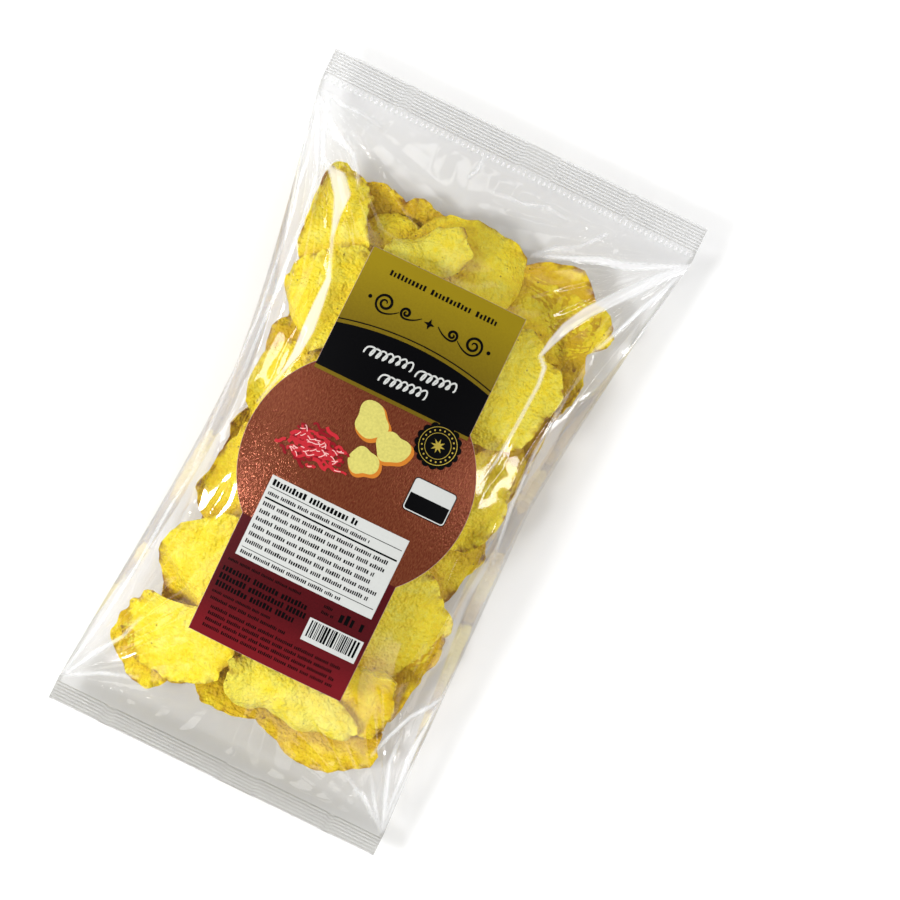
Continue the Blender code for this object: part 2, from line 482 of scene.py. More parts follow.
def seal_wave(x, y):
    """The pressed lines of both seals: 1 on a crest and -1 between two, shifted at doubled film."""
    from_head = LENGTH / 2 - y
    from_foot = y + LENGTH / 2
    in_head = from_head < HEAD_RIDGES * RIDGE_PITCH
    in_foot = from_foot < FOOT_RIDGES * RIDGE_PITCH
    turns = np.where(in_head, from_head, from_foot) / RIDGE_PITCH
    shift = np.zeros(np.shape(x))
    for middle, half in SEAMS:
        shift += smooth((half * MM - np.abs(x - middle * MM)) / SEAM_EDGE)
    wave = np.sin(TAU * (turns + SEAM_SHIFT * shift)) * (1 - SEAM_LOWERS * shift)
    return np.where(in_head | in_foot, wave, 0)


def head_teeth(x, y):
    """The row of small dents under the ridges of the head seal."""
    across = np.maximum(np.cos(TAU * x / TEETH_PITCH), -0.2)
    return across * np.exp(-((y - TEETH_Y) / TEETH_BREADTH) ** 2)


def film_points(turn, rows, face):
    """Places of one face of the film, closer together towards the bag's sides."""
    side = turn * (1 + SIDE_CROWDING - SIDE_CROWDING * np.abs(turn))
    y = np.broadcast_to(rows[None, :], (len(turn), len(rows)))
    x = middle_x(y) + side[:, None] * half_width(rows)[None, :]
    pressed = RIDGE_HEIGHT * seal_wave(x, y) + TEETH_HEIGHT * head_teeth(x, y)
    return np.stack([x, y, face(x, y) + pressed], axis=-1)


def film_face(name, points, white, dim, material):
    """One face of the film, with its painted highlight and painted shade at each point."""
    across, along = points.shape[:2]
    index = np.arange(across * along).reshape(across, along)
    corners = [index[:-1, :-1], index[1:, :-1], index[1:, 1:], index[:-1, 1:]]
    faces = np.stack(corners, axis=-1).reshape(-1, 4).tolist()
    return add_object(name, add_mesh(name, points, faces, white=white, dim=dim), material)


def seal_painted_light(x, y):
    """Painted highlights on the crests of the seals' pressed lines and painted shade between them, the foot
    seal greyer.
    """
    wave = seal_wave(x, y)
    pressed = wave != 0
    foot = y < 0
    # Painted highlight on each crest and painted shade in each trough, more shade at the foot seal
    crest = np.maximum(wave, 0) * np.where(foot, FOOT_SEAL_PAINTED_HIGHLIGHT, 1.0)
    trough = (0.3 + 0.7 * np.maximum(-wave, 0)) * np.where(foot, FOOT_SEAL_PAINTED_SHADE, 1.0)
    return np.where(pressed, SEAL_PAINTED_HIGHLIGHT * crest, 0), np.where(pressed, SEAL_PAINTED_SHADE * trough, 0)


def fold_painted_highlight(x, y):
    """Painted highlights along the front film's sharp folds, as milky white streaks."""
    total = np.zeros(np.shape(x))
    for path in FOLDS:
        gap, width = path_gap(x, y, path)
        shown = np.maximum(width, HAIR_WIDTH)
        strength = np.minimum(width / HAIR_WIDTH, 1)
        total = np.maximum(total, strength * smooth((shown / 2 - gap) / (0.9 * MM) + 0.5))
    return FOLD_PAINTED_HIGHLIGHT * total


def front_painted_light(x, y):
    """Painted highlights and painted shade on the front film: highlights on its folds, seal crests and
    dents, and shade at the sides, where it is seen along its surface.
    """
    white, dim = seal_painted_light(x, y)
    # Painted highlight on the dents under the head seal
    teeth = TEETH_PAINTED_HIGHLIGHT * np.maximum(head_teeth(x, y), 0)
    white = np.maximum(np.maximum(white, fold_painted_highlight(x, y)), teeth)
    # Painted shade along both sides of the bag
    side = SIDE_PAINTED_SHADE * smooth((side_share(x, y) - SIDE_SHADE_START) / 0.02)
    return white, np.maximum(dim, side)


def back_dim(y):
    """Painted shade on the back film, which darkens what is seen through the bag, with a painted shadow that
    deepens towards the foot.
    """
    return BACK_PAINTED_SHADE + FOOT_PAINTED_SHADOW * smooth((FOOT_SHADOW_START - y) / FOOT_SHADOW_REACH)


def build_film(material):
    """The front and back film, which meet along both sides and are pressed together at both seals."""
    rows = film_rows()
    low = film_points(
        np.linspace(1, -1, BACK_COLUMNS + 1), rows, lambda x, y: np.maximum(back(x, y) - FILM / 2, 0)
    )
    high = film_points(np.linspace(-1, 1, FRONT_COLUMNS + 1), rows, lambda x, y: front(x, y) + FILM / 2)
    for column in (0, -1):
        low[column, :, 2] = high[-1 - column, :, 2]
    skirt = high[:, [0, -1]].copy()
    skirt[:, :, 2] -= FILM
    high = np.concatenate([skirt[:, :1], high, skirt[:, 1:]], axis=1)
    white, dim = front_painted_light(high[:, :, 0], high[:, :, 1])
    return [
        film_face("film_front", high, white, dim, material),
        film_face("film_back", low, np.zeros(low.shape[:2]), back_dim(low[:, :, 1]), material),
    ]


# Crisps

# Crisps that show in front, the foremost first. Each has its X, Y and size in millimetres, its seed, its
# length over its width, its roll and cup as curves per metre, its frill in millimetres, its spin, its tips
# forward and sideways in degrees, its shade (its tone, lowered as painted shade for crisps in shadow),
# and perhaps a curl: direction, start as a share and radius.
FRONT_CRISPS = (
    # Foremost
    (17, -114, 47, 19, 2.0, -6, -68, 1, -7, -3, 0, 0.8),
    (-15, 95, 34, 32, 1.6, 14, -45, 1.5, 44, 0, -8, 0.8),
    (46, 55, 54, 9, 1.5, -16, 16, 2, 84, 0, 6, 0.75),
    (46, -96, 38, 18, 1.5, 30, -12, 2, 105, -2, -10, 0.4, (10, 0.35, 8)),
    (-50, 57, 55, 8, 1.15, -24, 14, 2, 35, 6, -2, 0.5, (200, 0.4, -9)),
    (-60, 89, 44, 1, 1.5, -26, 14, 2, 112, 0, -10, 0.65, (60, 0.3, 7)),
    # Second
    (50, -64, 62, 16, 1.12, -15, -10, 1.5, 15, 4, 8, 0.85),
    (8, 96, 62, 5, 1.35, -16, 10, 2.5, -14, 0, 5, 0.75, (0, 0.5, -8)),
    (-33, 90, 40, 4, 1.15, -28, 0, 2, 40, -4, 0, 0.75),
    (-40, 76, 36, 30, 1.4, 34, -12, 2, 24, 0, 8, 0.6),
    (57, 4, 42, 12, 1.5, -24, 12, 2, 85, 0, 6, 0.6),
    (-55, 10, 54, 13, 1.25, -26, 12, 2, 95, 6, -6, 0.65),
    (-42, -112, 52, 22, 1.35, -20, 18, 2, 10, 0, -6, 0.7, (90, 0.5, 8)),
    # Third
    (58, 93, 52, 6, 1.7, -18, 24, 2, 8, 0, -4, 0.65, (-30, 0.45, 7)),
    (62, -28, 48, 15, 1.25, 20, -14, 2, 55, 0, 8, 0.5),
    (62, -88, 56, 17, 1.5, 16, 0, 2, 82, -4, 6, 0.45),
    (-67, 79, 42, 2, 1.5, -28, 16, 2, 165, 0, 4, 0.4),
    (63, 22, 42, 11, 1.3, -24, 12, 2, 80, 4, 8, 0.55),
    (-55, -80, 54, 23, 1.25, -24, 16, 2, 65, 6, -6, 0.6),
    (-56, -34, 52, 14, 1.25, 22, -16, 2, 80, 6, -8, 0.5),
    (30, -126, 58, 20, 1.6, 12, -12, 1.5, -8, -4, 0, 0.15),
    # Rearmost that show
    (-47, 98, 38, 3, 1.3, -24, 12, 2, 110, 0, -6, 0.25, (0, 0.45, 8)),
    (-25, 99, 40, 31, 1.2, -28, 12, 2, 70, 6, 0, 0.3),
    (68, 68, 50, 7, 1.2, -20, 14, 2, 75, 0, 6, 0.35),
    (-66, 32, 46, 33, 1.3, -24, 12, 2, 95, 0, -6, 0.4),
    (69, 43, 44, 10, 1.3, 22, -12, 2, 95, 0, 6, 0.35),
    (-8, -116, 48, 21, 1.3, -24, 12, 2, 100, 0, -4, 0.4),
    (-60, -120, 42, 24, 1.2, -24, 12, 2, 140, 0, -4, 0.4),
)

# Crisps hidden by the label: X, Y, seed, spin and shade, which is tone and painted shade
COVERED_CRISPS = (
    (-6, 62, 25, 15, 0.5), (8, 18, 26, 80, 0.6), (-8, -28, 27, 140, 0.5), (4, -74, 28, 60, 0.5),
)

# Layers of filling: the columns and how far apart they are, the rows, the first row's Y and how far apart
# the rows are, and whether the layer lies on the back film
FILLER_LAYERS = (
    ((-1.5, -0.5, 0.5, 1.5), 33, 7, -112, 35, True),
    ((-1, 0, 1), 40, 6, -98, 38, False),
    ((-0.5, 0.5), 50, 5, -86, 42, True),
)
FILLER_SEED = 77
FILLER_SHIFT = 7  # how far a crisp is moved from its place in the row and column, in millimetres
FILLER_TIP = 9  # how far it is tipped, in degrees


def crisp_grid(rings, spokes):
    """Polar places and faces of a disc cut into rings and spokes, its rings closer together at the edge."""
    ring = np.repeat(np.arange(1, rings + 1) / rings, spokes)
    turn = np.tile(np.arange(spokes) * TAU / spokes, rings)
    ring = np.concatenate([[0.0], ring]) ** RING_CROWDING
    turn = np.concatenate([[0.0], turn])
    faces = [(0, 1 + spoke, 1 + (spoke + 1) % spokes) for spoke in range(spokes)]
    for level in range(rings - 1):
        inner = 1 + level * spokes
        outer = inner + spokes
        for spoke in range(spokes):
            after = (spoke + 1) % spokes
            faces.append((inner + spoke, outer + spoke, outer + after, inner + after))
    return ring, turn, faces


def bend_sheet(points, axis, curve):
    """Rolls a flat sheet round a cylinder: axis 0 rolls it along X and axis 1 along Y."""
    if curve == 0:
        return points
    lift = points[:, 2].copy()
    angle = points[:, axis] * curve
    points[:, axis] = np.sin(angle) / curve - lift * np.sin(angle)
    points[:, 2] = (1 - np.cos(angle)) / curve + lift * np.cos(angle)
    return points


def fold_edge(points, way, start, radius, most):
    """Bends the part of a crisp beyond start in the direction way: up, or down if the radius is less than 0.

    Most is the largest angle of the bend, and what lies beyond it runs on straight.
    """
    along = points[:, 0] * math.cos(way) + points[:, 1] * math.sin(way)
    beyond = np.maximum(along - start, 0)
    arc_length = abs(radius) * most
    angle = np.minimum(beyond, arc_length) / radius
    straight = np.maximum(beyond - arc_length, 0)
    shift = radius * np.sin(angle) + straight * np.cos(angle) - beyond
    points[:, 0] += shift * math.cos(way)
    points[:, 1] += shift * math.sin(way)
    points[:, 2] += radius * (1 - np.cos(angle)) + straight * np.sin(angle)
    return points


def crisp_outline(turn, rng):
    """How far out the edge of a crisp is in each direction, as a share: wavy, notched and ragged."""
    reach = np.ones_like(turn)
    for waves, share in EDGE_WAVES:
        reach += share * rng.uniform(0.4, 1.0) * np.cos(waves * turn + rng.uniform(0, TAU))
    for _ in range(rng.integers(2, 5)):
        apart = np.abs((turn - rng.uniform(0, TAU) + math.pi) % TAU - math.pi)
        reach -= rng.uniform(0.03, 0.11) * np.exp(-(apart / rng.uniform(0.06, 0.22)) ** 2)
    return reach


def blisters(x, y, size, count, breadth, height, rng):
    """Round swellings and hollows at random places; breadth in millimetres, height as a share of it."""
    total = np.zeros_like(x)
    for _ in range(count):
        way = rng.uniform(0, TAU)
        gone = size / 2 * math.sqrt(rng.uniform(0, 0.95))
        broad = rng.uniform(*breadth) * MM
        tall = rng.uniform(*height) * broad * rng.choice([-1, 1])
        gap = (x - gone * math.cos(way)) ** 2 + (y - gone * math.sin(way)) ** 2
        total += tall * np.exp(-gap / broad ** 2)
    return total


def pleats(x, y, size, rng):
    """Long bent ridges and troughs that cross a crisp and fade towards one end."""
    total = np.zeros_like(x)
    for _ in range(PLEATS):
        way = rng.uniform(0, TAU)
        along = y * math.cos(way) - x * math.sin(way)
        across = x * math.cos(way) + y * math.sin(way) - size * rng.uniform(-0.35, 0.35)
        across += rng.uniform(-0.7, 0.7) * along ** 2 / size
        broad = rng.uniform(2.5, 5.5) * MM
        tall = rng.uniform(0.3, 0.6) * broad * rng.choice([-1, 1])
        fade = smooth(0.85 + rng.choice([-1, 1]) * along / size)
        total += tall * np.exp(-(across / broad) ** 2) * fade
    return total


def crisp_points(ring, turn, size, stretch, roll, cup, frill, curls, rng):
    """One crisp about its own middle: an uneven round, pleated, blistered, frilled at its edge and bent."""
    reach = ring * crisp_outline(turn, rng) * size / 2
    x = reach * np.cos(turn) * math.sqrt(stretch)
    y = reach * np.sin(turn) / math.sqrt(stretch)
    z = np.zeros_like(x)
    for waves in FRILL_WAVES:
        tall = frill * min(3 / waves, 1) * rng.uniform(0.3, 1.0)
        z += tall * ring ** 3 * np.cos(waves * turn + rng.uniform(0, TAU))
    z += pleats(x, y, size, rng)
    for count, breadth, height in BLISTERS:
        z += blisters(x, y, size, count, breadth, height, rng)
    points = np.stack([x, y, z], axis=-1)
    for _ in range(BENT_EDGES):
        way = rng.uniform(0, TAU)
        radius = rng.uniform(3, 7) * rng.choice([-1, 1]) * MM
        points = fold_edge(points, way, rng.uniform(0.3, 0.65) * size / 2, radius, rng.uniform(0.3, 0.75))
    for way, start, radius in curls:
        points = fold_edge(points, math.radians(way), start * size / 2, radius * MM, CURL_MOST)
    points = bend_sheet(points, 0, roll)
    return bend_sheet(points, 1, cup)


def turned(points, spin, tip_x, tip_y):
    """Spins a crisp about its upright axis, then tips it forward and sideways."""
    cos_s, sin_s = math.cos(spin), math.sin(spin)
    cos_x, sin_x = math.cos(tip_x), math.sin(tip_x)
    cos_y, sin_y = math.cos(tip_y), math.sin(tip_y)
    about_z = np.array([[cos_s, -sin_s, 0], [sin_s, cos_s, 0], [0, 0, 1]])
    about_x = np.array([[1, 0, 0], [0, cos_x, -sin_x], [0, sin_x, cos_x]])
    about_y = np.array([[cos_y, 0, sin_y], [0, 1, 0], [-sin_y, 0, cos_y]])
    return points @ (about_y @ about_x @ about_z).T


def clear_of_sides(x, y):
    """Moves a crisp sideways until it is clear of the bag's side folds and seals."""
    for side in (-1, 1):
        excess = (side * (x - middle_x(y)) - (half_width(y) - SIDE_ROOM)).max()
        x = x - side * max(excess, 0)
    y = y - max((y - (HEAD_Y - SEAL_ROOM)).max(), 0)
    y = y + max(((FOOT_Y + SEAL_ROOM) - y).max(), 0)
    return x, y


def film_lean(x, y):
    """How far the smooth front film leans at a place, across and along the bag."""
    step = 4 * MM
    across = (smooth_front(x + step, y) - smooth_front(x - step, y)) / (2 * step)
    along = (smooth_front(x, y + step) - smooth_front(x, y - step)) / (2 * step)
    return np.clip(np.arctan([across, along]), -LARGEST_LEAN, LARGEST_LEAN)


def browned_edge(ring, turn, rng):
    """How brown a crisp is at each point: along its rim, and more so on one side."""
    toasted = rng.uniform(0.3, 1.0)
    patch = 0.5 + 0.5 * np.cos(turn - rng.uniform(0, TAU))
    return np.clip(0.6 * ring ** 18 + ring ** 6 * toasted * patch, 0, 1)


class Pile:
    """Lays crisps in the bag without letting them pass through one another, and joins them into one mesh.

    A map of square cells keeps the free room: its ceiling is the front film and the crisps laid against it
    so far, and its floor is the back film and the crisps that lie on it.
    """

    def __init__(self):
        self.fine = crisp_grid(*FINE_GRID)
        self.coarse = crisp_grid(*COARSE_GRID)
        self.points = []
        self.faces = []
        self.browning = []
        self.shade = []
        self.count = 0
        self.columns = int(HEAD_WIDTH / CELL) + 3
        self.rows = int(LENGTH / CELL) + 3
        x = (np.arange(self.columns) - self.columns / 2 + 0.5) * CELL
        y = (np.arange(self.rows) - self.rows / 2 + 0.5) * CELL
        x, y = np.meshgrid(x, y, indexing="ij")
        self.film_ceiling = front(x, y) - FILM_ROOM
        self.film_floor = np.minimum(back(x, y) + FILM_ROOM, self.film_ceiling)
        self.ceiling = self.film_ceiling.copy()
        self.floor = self.film_floor.copy()

    def cells(self, x, y):
        column = np.clip((x / CELL + self.columns / 2).astype(int), 0, self.columns - 1)
        row = np.clip((y / CELL + self.rows / 2).astype(int), 0, self.rows - 1)
        return column, row

    def covered_share(self, cell):
        """The share of the cells around each point's own cell that have a crisp in front of them."""
        covered = (self.ceiling < self.film_ceiling).astype(float)
        around = range(-CONTACT_CELLS, CONTACT_CELLS + 1)
        total = sum(np.roll(covered, (east, north), axis=(0, 1)) for east in around for north in around)
        return total[cell] / len(around) ** 2

    def fitted(self, sheet, x, y, lean, low):
        """Turns a crisp and moves it against the film, pressed flatter where the room is too low for it.

        Gives its places, the cells that they are in, and how far it still passes the other side of the room.
        """
        for press in PRESSES:
            points = turned(sheet * (1, 1, press), *lean)
            east, north = clear_of_sides(points[:, 0] + x, points[:, 1] + y)
            cell = self.cells(east, north)
            if low:
                height = points[:, 2] + (self.floor[cell] - points[:, 2]).max() + CRISP_THICKNESS / 2
                excess = (height + CRISP_THICKNESS / 2 - self.ceiling[cell]).max()
            else:
                height = points[:, 2] + (self.ceiling[cell] - points[:, 2]).min() - CRISP_THICKNESS / 2
                excess = (self.floor[cell] + CRISP_THICKNESS / 2 - height).max()
            if excess < SQUEEZE:
                break
        return east, north, height, cell, excess

    def lay(self, x, y, size, seed, stretch=1.15, roll=0, cup=0, frill=2.0, spin=0, tip=(0, 0), shade=0.5,
            curls=(), fine=True, low=False):
        """Lays one crisp against the front film, or against the back film if low. Sizes are millimetres."""
        rng = np.random.default_rng(seed)
        ring, turn, faces = self.fine if fine else self.coarse
        sheet = crisp_points(ring, turn, size * MM, stretch, roll, cup, frill * MM, curls, rng)
        sheet[:, 2] -= sheet[:, 2].mean()
        sheet[:, 2] *= min(DEEPEST / np.ptp(sheet[:, 2]), 1)
        across, along = (0, 0) if low else film_lean(x * MM, y * MM)
        lean = (math.radians(spin), along + math.radians(tip[0]), math.radians(tip[1]) - across)
        east, north, height, cell, excess = self.fitted(sheet, x * MM, y * MM, lean, low)
        if low and excess > SQUEEZE:
            return
        near = self.covered_share(cell)
        if low:
            np.maximum.at(self.floor, cell, height + CRISP_THICKNESS / 2)
        else:
            height = np.maximum(height, self.film_floor[cell] + CRISP_THICKNESS / 2)
            np.minimum.at(self.ceiling, cell, height - CRISP_THICKNESS / 2)
        self.points.append(np.stack([east, north, height], axis=-1))
        self.faces += [tuple(self.count + corner for corner in face) for face in faces]
        self.count += len(ring)
        self.browning.append(browned_edge(ring, turn, rng))
        # Painted shade: deeper under the front film and in the gaps beside crisps that already lie on top
        under = np.clip((smooth_front(east, north) - height) / SHADED_DEPTH, 0, 1)
        self.shade.append(shade + SHADE_LIFT - PAINTED_DEPTH_SHADE * under - PAINTED_CONTACT_SHADE * near)

    def build(self, name, material):
        points = np.concatenate(self.points)
        browning = np.concatenate(self.browning)
        shade = np.concatenate(self.shade)
        made = add_object(name, add_mesh(name, points, self.faces, browning=browning, shade=shade), material)
        thicken(made, CRISP_THICKNESS, 0)
        rim = made.modifiers.new("rim", "EDGE_SPLIT")
        rim.split_angle = RIM_ANGLE
        return made


def front_crisps(pile):
    """The crisps that show in front, then those under the label."""
    for x, y, size, seed, stretch, roll, cup, frill, spin, forward, sideways, shade, *curls in FRONT_CRISPS:
        pile.lay(
            x, y, size, seed, stretch=stretch, roll=roll, cup=cup, frill=frill, spin=spin,
            tip=(forward, sideways), shade=shade, curls=curls,
        )
    for x, y, seed, spin, shade in COVERED_CRISPS:
        pile.lay(x, y, 54, seed, roll=-12, frill=4, spin=spin, shade=shade, fine=False)


def filler_crisps(pile):
    """Crisps at uneven places between the front ones and the back film."""
    rng = np.random.default_rng(FILLER_SEED)

    def either_way(most):
        return rng.uniform(-most, most)

    def lay(x, y, low):
        pile.lay(
            x + either_way(FILLER_SHIFT),
            y + either_way(FILLER_SHIFT),
            rng.uniform(46, 58),
            rng.integers(10000),
            stretch=rng.uniform(1.05, 1.35),
            roll=rng.uniform(-20, 14),
            cup=either_way(8),
            frill=rng.uniform(1, 2),
            spin=rng.uniform(0, 360),
            tip=(either_way(FILLER_TIP), either_way(FILLER_TIP)),
            shade=rng.uniform(0.2, 0.7),
            fine=False,
            low=low,
        )

    for columns, apart, rows, first_row, row_pitch, low in FILLER_LAYERS:
        for row in range(rows):
            for column in columns:
                lay(column * apart, first_row + row * row_pitch, low)


# Print on the label


def rectangle(x0, y0, x1, y1):
    return [(x0, y0), (x1, y0), (x1, y1), (x0, y1)]


def placed(shape):
    """A shape drawn in millimetres, in metres."""
    return [(x * MM, y * MM) for x, y in shape]


def polar(x, y, reach, angle):
    return x + reach * math.cos(angle), y + reach * math.sin(angle)


def arc(x, y, radius, start, end, steps):
    """Places along part of a circle, from one direction to another."""
    return [polar(x, y, radius, blend(start, end, step / steps)) for step in range(steps + 1)]


def round_outline(x, y, count, reach):
    """A closed outline about a place; reach tells how far out it is in each direction."""
    angles = [TAU * step / count for step in range(count)]
    return [polar(x, y, reach(angle), angle) for angle in angles]


def disc(x, y, radius, count):
    return round_outline(x, y, count, lambda angle: radius)


def uneven_round(x, y, radius, rng):
    """A closed outline like a slice of potato."""
    waves = ((2, 0.10), (3, 0.09), (5, 0.04))
    lags = rng.uniform(0, TAU, len(waves))

    def reach(angle):
        parts = [share * math.cos(count * angle + lag) for (count, share), lag in zip(waves, lags)]
        return radius * (1 + sum(parts))

    return round_outline(x, y, 56, reach)


def scalloped(x, y, radius, lobes, depth):
    return round_outline(
        x, y, 8 * lobes, lambda angle: radius - depth * (1 - abs(math.sin(angle * lobes / 2)) ** 0.8)
    )


def star(x, y, radius, inner, rays):
    reaches = (radius, inner) * rays
    return [polar(x, y, reach, math.pi / 2 + math.pi * step / rays) for step, reach in enumerate(reaches)]


def rounded_box(x0, y0, x1, y1, radius, square_head=False):
    """A box with rounded corners, or with square ones at its head."""
    points = []
    for x, y, start in ((x1, y0, -90), (x1, y1, 0), (x0, y1, 90), (x0, y0, 180)):
        if square_head and y == y1:
            points.append((x, y))
            continue
        middle_east = x - math.copysign(radius, x - (x0 + x1) / 2)
        middle_north = y - math.copysign(radius, y - (y0 + y1) / 2)
        points += arc(middle_east, middle_north, radius, math.radians(start), math.radians(start + 90), 6)
    return points


def stroke(path, width):
    """A drawn line: one four-cornered piece for each step of its path. Width is one number or many."""
    places = np.array(path, dtype=float)
    wide = np.broadcast_to(np.asarray(width, dtype=float), len(places))
    run = np.gradient(places, axis=0)
    run /= np.hypot(run[:, 0], run[:, 1])[:, None]
    across = np.stack([-run[:, 1], run[:, 0]], axis=-1) * wide[:, None] / 2
    left = places + across
    right = places - across
    return [
        [tuple(right[step]), tuple(right[step + 1]), tuple(left[step + 1]), tuple(left[step])]
        for step in range(len(places) - 1)
    ]


def bow(side_y, rise, half):
    """A line that rises towards its middle, from one side of the label to the other."""
    return [(x, side_y + rise * (1 - (x / half) ** 2)) for x in np.linspace(-half, half, 33)]


def scroll(x, y, radius, turns, face):
    """A spiral that opens downwards and runs on towards the middle; face is 1 or -1."""
    path = []
    steps = int(26 * turns)
    for step in range(steps + 1):
        share = step / steps
        angle = -math.pi / 2 - TAU * turns * (1 - share)
        reach = radius * (0.15 + 0.85 * share)
        path.append((x + face * reach * math.cos(angle), y + reach * math.sin(angle)))
    return path


def flourish(y):
    """A plain ornament of two scrolls either side of a small star, in millimetres."""
    pieces = [star(0, y, 2.6, 1.0, 4)]
    for face in (-1, 1):
        for place, radius, turns in ((22, 4.6, 1.75), (11.5, 2.6, 1.5)):
            path = scroll(face * place, y, radius, turns, -face)
            last_x, last_y = path[-1]
            for share in np.arange(1, 9) / 8:
                path.append((last_x - face * 7.5 * share, last_y + 3.4 * share ** 2))
            width = 0.35 + 0.85 * np.sin(np.linspace(0, math.pi, len(path))) ** 0.7
            pieces += stroke(path, width)
        pieces.append(disc(face * 29.5, y, 0.9, 16))
    return pieces


def loops(x0, x1, y):
    """A row of leaning loops, as a stand-in for a word in a flowing hand."""
    count = max(round((x1 - x0) / LOOP_PITCH), 1)
    path = []
    for step in range(LOOP_STEPS * count + 1):
        phase = TAU * step / LOOP_STEPS
        middle = blend(x0, x1, step / (LOOP_STEPS * count))
        up = -LOOP_HEIGHT / 2 * (0.72 + 0.28 * math.cos(0.9 * phase + 0.6)) * math.cos(phase)
        path.append((middle - 0.372 * LOOP_PITCH * math.sin(phase) + 0.30 * up, y + up))
    return stroke(path, LOOP_LINE)


def letter_row(x0, x1, y, tall, rng, letter=(0.26, 0.42), words=(5, 12), apart=0.20):
    """A row of small upright bars in groups, as a stand-in for a line of print.

    Letter is the width of a bar and apart the gap after it, as shares of the row's height, and words is how
    many bars a group has.
    """
    bars = []
    place = x0
    while True:
        for _ in range(rng.integers(*words)):
            wide = tall * rng.uniform(*letter)
            if place + wide > x1:
                return bars
            high = tall * rng.choice([0.8, 0.9, 1.0])
            bars.append(rectangle(place, y - tall / 2, place + wide, y - tall / 2 + high))
            place += wide + apart * tall
        place += 2.5 * apart * tall


def text_block(x0, x1, top, rows, pitch, tall, seed, **letters):
    """Rows of such bars that end unevenly."""
    rng = np.random.default_rng(seed)
    bars = []
    for row in range(rows):
        end = x1 - rng.uniform(0, 0.10) * (x1 - x0)
        bars += letter_row(x0, end, top - row * pitch, tall, rng, **letters)
    return bars


def bar_code(x0, x1, y0, y1, seed):
    rng = np.random.default_rng(seed)
    bars = []
    place = x0
    while True:
        wide = rng.choice([0.35, 0.35, 0.7, 1.05])
        if place + wide > x1:
            return bars
        bars.append(rectangle(place, y0, place + wide, y1))
        place += wide + rng.choice([0.35, 0.35, 0.7])


def keyhole():
    """The outline of the label: a disc between two rectangles."""
    half = LABEL_WIDTH / 2
    corner = math.asin(half / DISC_RADIUS)
    up = math.pi / 2
    return [
        (-half, LABEL_FOOT), (half, LABEL_FOOT),
        *arc(0, DISC_Y, DISC_RADIUS, corner - up, up - corner, 40),
        (half, LABEL_TOP), (-half, LABEL_TOP),
        *arc(0, DISC_Y, DISC_RADIUS, up + corner, 3 * up - corner, 40),
    ]


def cut_along(cut, axis):
    """Cuts flat faces along parallel lines, so that they can bend with the film."""
    places = [vertex.co[axis] for vertex in cut.verts]
    line = math.ceil(min(places) / DRAPE_STEP) * DRAPE_STEP
    normal = (1, 0, 0) if axis == 0 else (0, 1, 0)
    while line < max(places):
        geometry = cut.verts[:] + cut.edges[:] + cut.faces[:]
        spot = (line, 0, 0) if axis == 0 else (0, line, 0)
        bmesh.ops.bisect_plane(cut, geom=geometry, dist=1e-7, plane_co=spot, plane_no=normal)
        line += DRAPE_STEP


def drape(name, outlines, level, material):
    """Lays flat shapes on the label, a stated number of print layers above it."""
    cut = bmesh.new()
    for outline in outlines:
        cut.faces.new([cut.verts.new((x, y, 0)) for x, y in outline])
    cut_along(cut, 0)
    cut_along(cut, 1)
    bmesh.ops.triangulate(cut, faces=[face for face in cut.faces if len(face.verts) > 4])
    bmesh.ops.recalc_face_normals(cut, faces=cut.faces[:])
    for face in cut.faces:
        if face.normal.z < 0:
            face.normal_flip()
    places = np.array([vertex.co[:2] for vertex in cut.verts])
    lift = LABEL_GAP + LABEL_THICKNESS + FILM / 2 + level * PRINT_STEP
    heights = front(places[:, 0], places[:, 1]) + lift
    for vertex, height in zip(cut.verts, heights):
        vertex.co.z = height
    mesh = bpy.data.meshes.new(name)
    cut.to_mesh(mesh)
    cut.free()
    shade_smooth(mesh)
    return add_object(name, mesh, material)


def label_fields(look):
    """The label's paper and its large fields of colour, from the lowest layer to the highest."""
    half = LABEL_WIDTH / 2 - PAPER_EDGE
    paper = drape("label", [keyhole()], 0, look["paper"])
    thicken(paper, LABEL_THICKNESS, -1)
    round_field = disc(0, DISC_Y, DISC_RADIUS - PAPER_EDGE, 120)
    gold = rectangle(-half, BAND_FOOT - GOLD_EDGE, half, LABEL_TOP - PAPER_EDGE)
    red = rectangle(-half, LABEL_FOOT + PAPER_EDGE, half, RED_TOP)
    band = [(half, BAND_FOOT), *bow(BAND_SIDE, BAND_RISE, half)[::-1], (-half, BAND_FOOT)]
    return [
        paper,
        drape("label_disc", [round_field], 1, look["copper"]),
        drape("label_foot", [red], 2, look["red"]),
        drape("label_gold", [gold], 3, look["gold"]),
        drape("label_band", [band], 4, look["black"]),
    ]


def table_panel():
    """The white panel with ruled lines and rows of small print."""
    rng = np.random.default_rng(5)
    panel = rectangle(-33.2, -63.7, 34.6, -24.4)
    lines = ((-29.9, 0.3), (-35.0, 0.8), (-59.3, 0.3))
    rules = [rectangle(-32, y - wide / 2, 33.4, y + wide / 2) for y, wide in lines]
    rows = letter_row(-31.6, 12, -27.2, 2.9, rng, letter=(0.3, 0.48), words=(8, 12))
    rows += letter_row(-31.6, 19, -32.4, 1.7, rng)
    rows += text_block(-31.6, 33, -37.6, 6, 3.7, 1.9, 8)
    rows += letter_row(-31.6, 18, -61.4, 1.7, rng)
    return [
        ("label_panel", [panel], 4, "white"),
        ("label_rules", rules, 5, "black"),
        ("label_rows", rows, 5, "black"),
    ]


